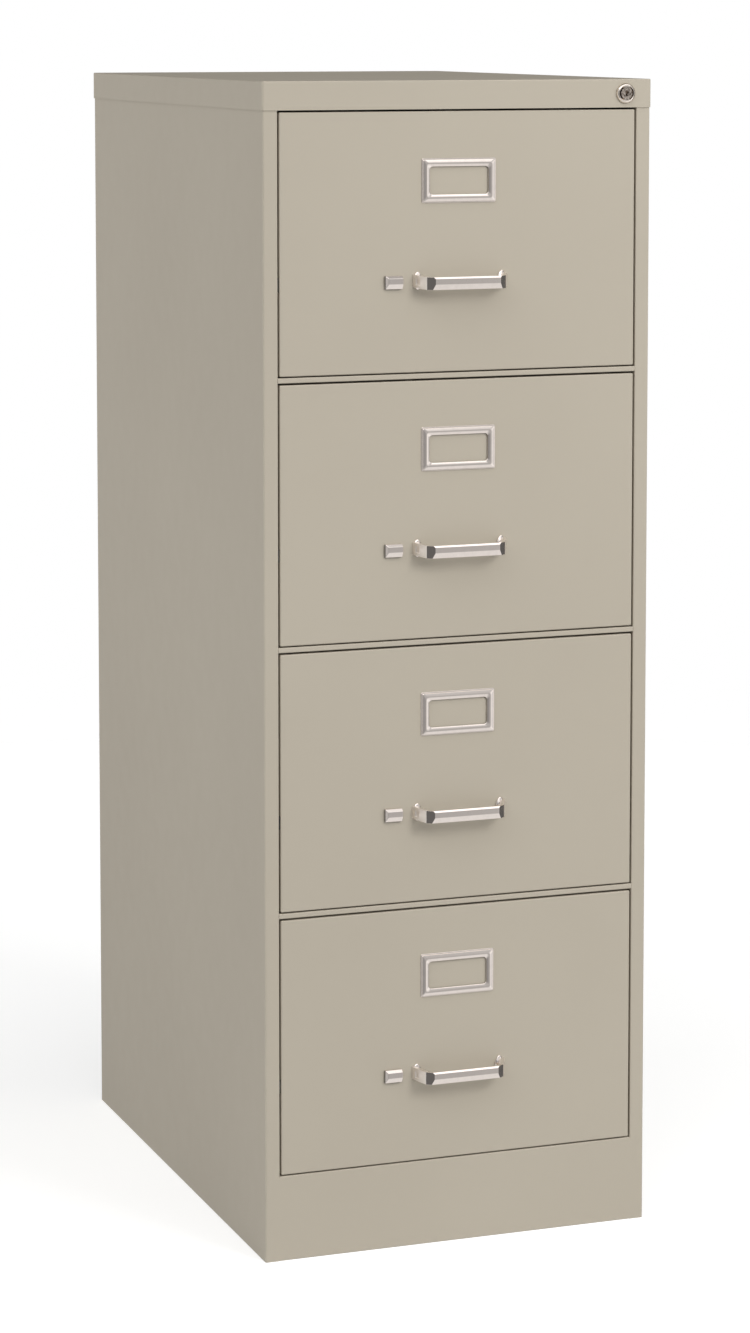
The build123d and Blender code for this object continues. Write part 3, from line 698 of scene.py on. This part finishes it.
def satin_nickel(name, tones, gloss):
    """Warm plate, mottled and pitted where keys have rubbed it, and rougher where it is lighter."""
    material, tree, shader, place = patterned(name)
    rubbed = cloudy(tree, place, 460.0, 4.0)
    feed(tree, shader, {
        "Base Color": colour_ramp(tree, rubbed, [(0.35, tones[0]), (0.65, tones[1])]),
        "Roughness": mapped(tree, rubbed, (0.3, 0.7), (gloss - 0.06, gloss + 0.08)),
        "Normal": relief(tree, rubbed, 0.00006),
        "Metallic": 1.0,
    })
    return material


ring_nickel = satin_nickel("ring_nickel", ((0.70, 0.62, 0.55), (0.86, 0.79, 0.71)), 0.14)
plug_nickel = satin_nickel("plug_nickel", ((0.16, 0.13, 0.11), (0.70, 0.62, 0.54)), 0.26)
lip_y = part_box("top_cap")[0].y
lock_low, lock_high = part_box("lock_housing")
lock_x, lock_z = (lock_low.x + lock_high.x) / 2, (lock_low.z + lock_high.z) / 2
lock_sides = 96
ring_profile = [
    (9.5, -17.0), (7.05, -17.0), (7.05, -1.8), (7.25, -2.0), (8.35, -2.0), (8.55, 3.6),
    (8.8, 3.9), (9.1, 4.0), (9.5, 3.85), (10.2, 3.4), (10.8, 2.75), (11.2, 1.9),
    (11.38, 1.0), (11.4, 0.0), (9.5, 0.0),
]
groove_rows, groove_deep = [3, 4], 5.6
groove_end, groove_ramp = 0.45, 0.15
ring_grid = turned_rings(ring_profile, lock_sides)
sideways = np.abs(np.cos(full_turn(lock_sides)))
filled = 1 - np.clip((sideways - groove_end) / groove_ramp, 0, 1)
ring_grid[groove_rows, :, 1] += groove_deep * filled
placed = on_front(ring_grid, lock_x, lock_z, lip_y)
ring_faces = tube_faces(len(ring_profile), lock_sides, closed=True).reshape(-1, 4)
lock_ring = solid_piece("lock_ring", placed, ring_faces, ring_nickel)
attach(lock_ring, "root")
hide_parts("lock_housing")

plug_body = [
    (0.3, -19.5), (4.0, -19.5), (4.0, -17.0), (7.0, -17.0), (7.0, 3.1), (6.85, 3.4), (6.5, 3.55),
]
dish_radius, dish_middle, dish_deep = 6.4, 3.3, 0.25
dish_centre, dish_rings = 0.12, 46
hole_up, hole_radius = 0.8, 1.8
slot_down, slot_half_wide, slot_half_high = 1.2, 0.85, 2.1
keyhole_edge, keyhole_deep = 0.25, 5.0


def plug_surface():
    """Rings from the tail's end forward over the plug to the middle of its face. The face is a
    shallow dish, and sinks steeply inside the keyhole's outline, a round hole over a slot."""
    dish = [
        (radius, dish_middle + dish_deep * (radius / dish_radius) ** 2)
        for radius in np.linspace(dish_radius, dish_centre, dish_rings)
    ]
    rings = turned_rings(plug_body + dish, lock_sides)
    face = slice(len(plug_body), None)
    across, up = rings[face, :, 0], rings[face, :, 2]
    hole = np.hypot(across, up - hole_up) - hole_radius
    slot = np.maximum(np.abs(across) - slot_half_wide, np.abs(up + slot_down) - slot_half_high)
    rings[face, :, 1] -= keyhole_deep * np.clip(0.5 - np.minimum(hole, slot) / keyhole_edge, 0, 1)
    return rings


points, faces = capped_tube(plug_surface())
placed = on_front(points, lock_x, lock_z, lip_y)
keyed_plug = solid_piece("keyed_plug", placed, faces, plug_nickel)
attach(keyed_plug, "lock_plug")
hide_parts("lock_plug")

# The joints between the base and the stiles: filled with weld, rubbed down almost flush and
# painted over, so that the front's foot looks like one sheet.
seam_profile = [
    (-1.2, -1.0), (-7.0, 0.0), (-4.0, 0.03), (0.0, 0.05), (4.0, 0.03), (7.0, 0.0), (1.2, -1.0),
]
seam_foot, seam_below = 0.3 * mm, 0.9 * mm
seam_x = abs(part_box("base_front")[0].x)
seam_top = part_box("base_front")[1].z - seam_below
seam_ends = np.array([seam_foot, seam_top])
for side, name in ((-1, "left"), (1, "right")):
    across, out = np.array(seam_profile).T
    rings = np.stack(
        [
            np.tile(side * seam_x + across * mm, (2, 1)),
            np.tile(face_y - out * mm, (2, 1)),
            np.repeat(seam_ends[:, None], len(across), axis=1),
        ],
        axis=-1,
    )
    points, faces = capped_tube(rings)
    seam = solid_piece(f"{name}_base_seam", points, faces, putty_enamel)
    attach(seam, "root")
